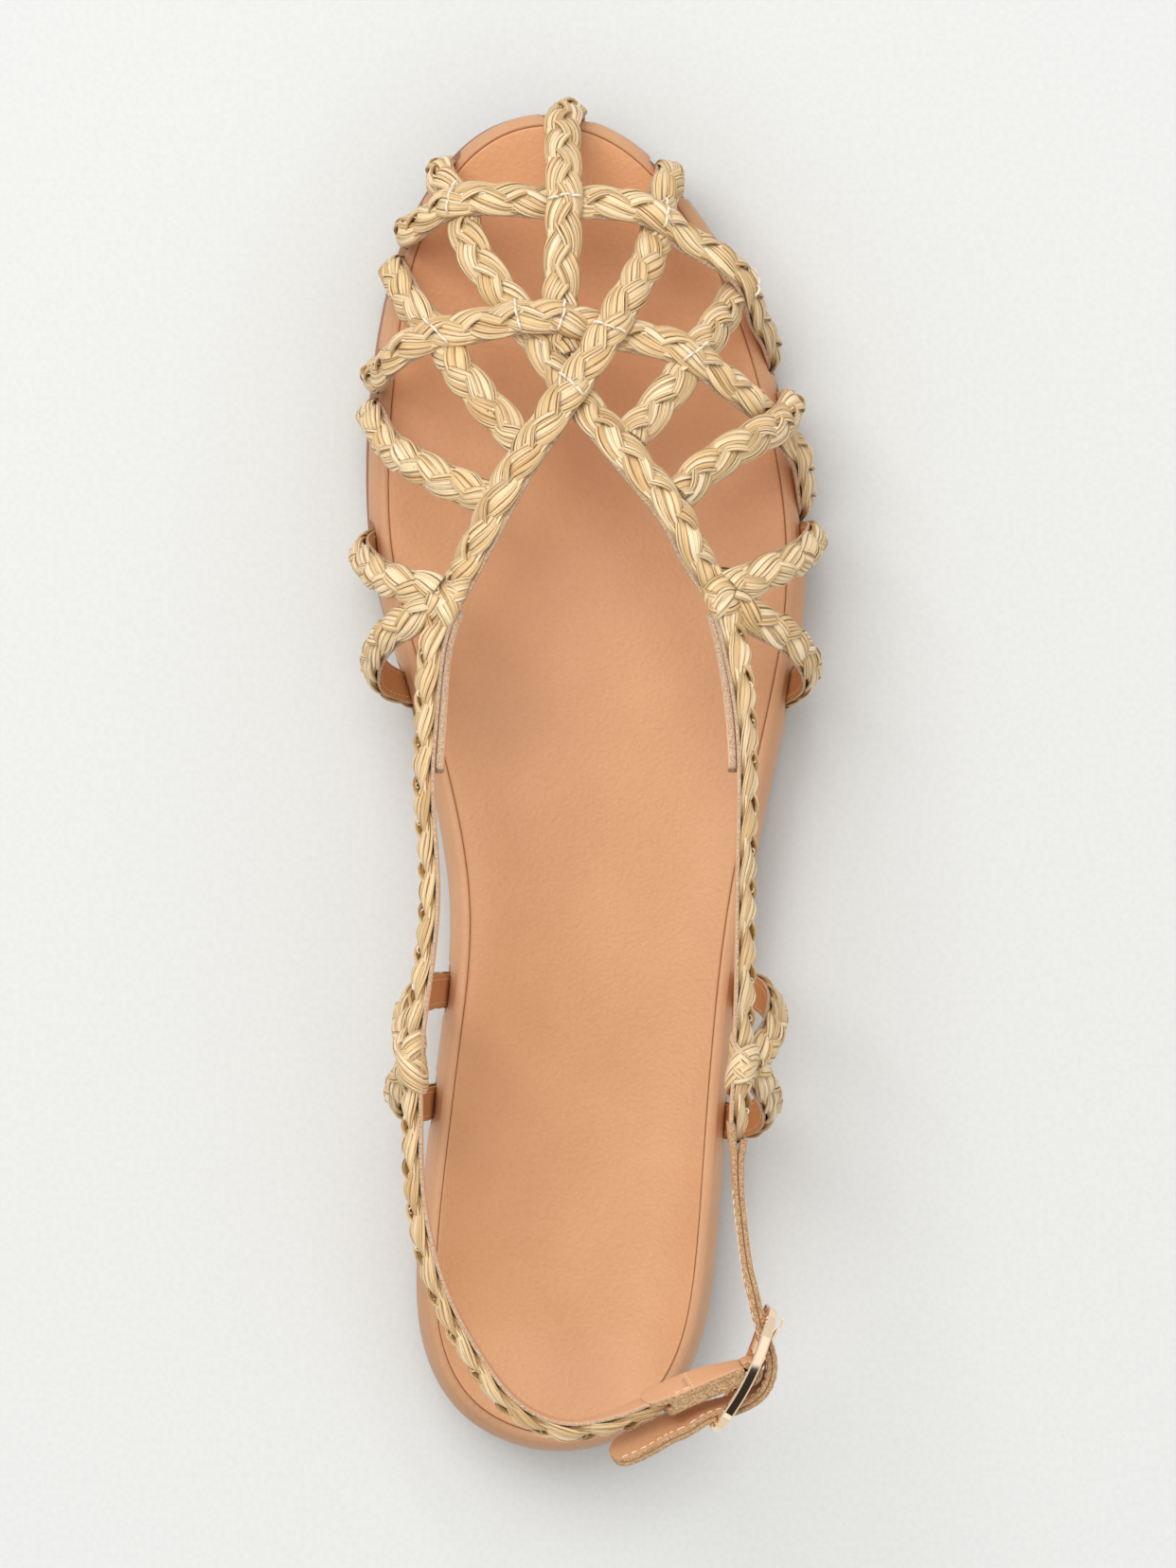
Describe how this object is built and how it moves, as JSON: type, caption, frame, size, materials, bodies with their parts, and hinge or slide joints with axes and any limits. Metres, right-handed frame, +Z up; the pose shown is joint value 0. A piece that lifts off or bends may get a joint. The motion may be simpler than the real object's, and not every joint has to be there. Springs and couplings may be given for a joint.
{
  "type": "raffia cage sandal",
  "caption": "Flat right-foot sandal with a cage of braided raffia straps over a padded leather footbed and a slingback held by a buckled leather strap.",
  "frame": {"origin": "on the floor under the middle of the sandal's bounding box", "axes": "+X to the outer side of the right foot, +Y from heel to toe, +Z up"},
  "size_m": [0.0904, 0.2578, 0.082],
  "materials": {
    "outsole": "matt, dyed edge",
    "footbed": "smooth, natural tan",
    "insole": "fine grain, natural tan",
    "upper": "braided raffia, satin straw",
    "strap_leather": "smooth face, raw suede edge",
    "buckle": "polished pale gold"
  },
  "bodies": {
    "root": {"outsole": "outsole", "footbed": "footbed", "insole": "insole", "upper": "upper", "buckle_strap": "strap_leather", "buckle_tab": "strap_leather", "buckle_frame": "buckle", "buckle_prong": "buckle"}
  },
  "joints": []
}
